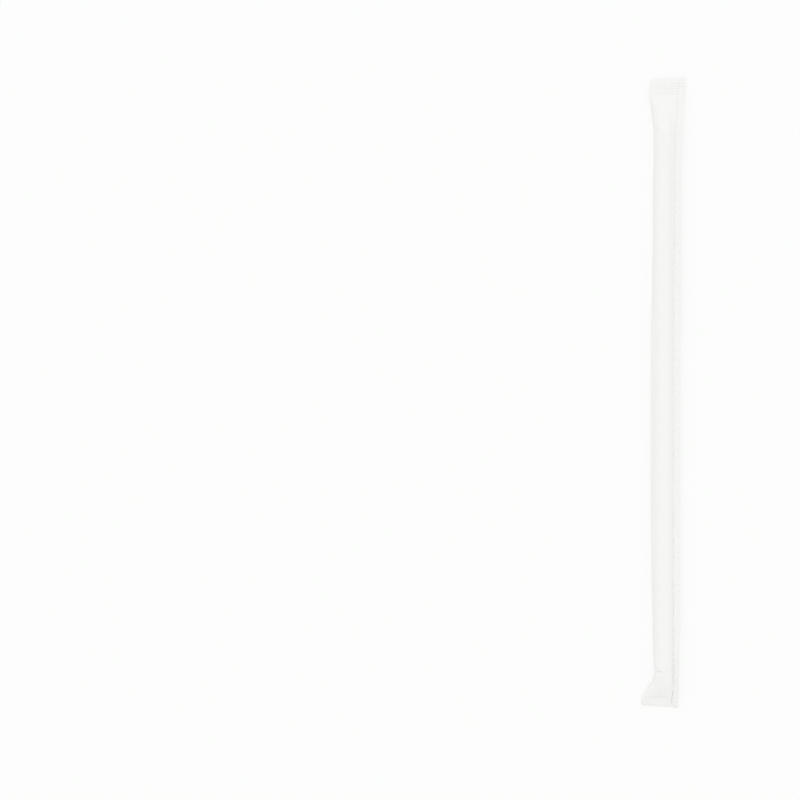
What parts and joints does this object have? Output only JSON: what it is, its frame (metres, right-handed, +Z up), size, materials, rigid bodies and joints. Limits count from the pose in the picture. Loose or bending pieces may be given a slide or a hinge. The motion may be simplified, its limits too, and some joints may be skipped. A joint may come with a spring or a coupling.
{
  "type": "paper-wrapped drinking straw",
  "caption": "White flexible plastic drinking straw sealed in a loose paper sleeve with flat crimped ends and a knurled seam down one side, lying on a table.",
  "frame": {"origin": "the middle of the wrapped straw's outline, on the table that it lies on", "axes": "+X across, towards the sealed seam; +Y along the straw, towards the mouthpiece end of the sleeve; +Z up from the table"},
  "size_m": [0.0164, 0.2306, 0.0065],
  "materials": {
    "sleeve_paper": "thin uncoated white tissue paper, soft and matt",
    "straw_plastic": "white extruded polypropylene, satin"
  },
  "bodies": {
    "root": {"paper_sleeve": "sleeve_paper", "straw": "straw_plastic"}
  },
  "joints": []
}
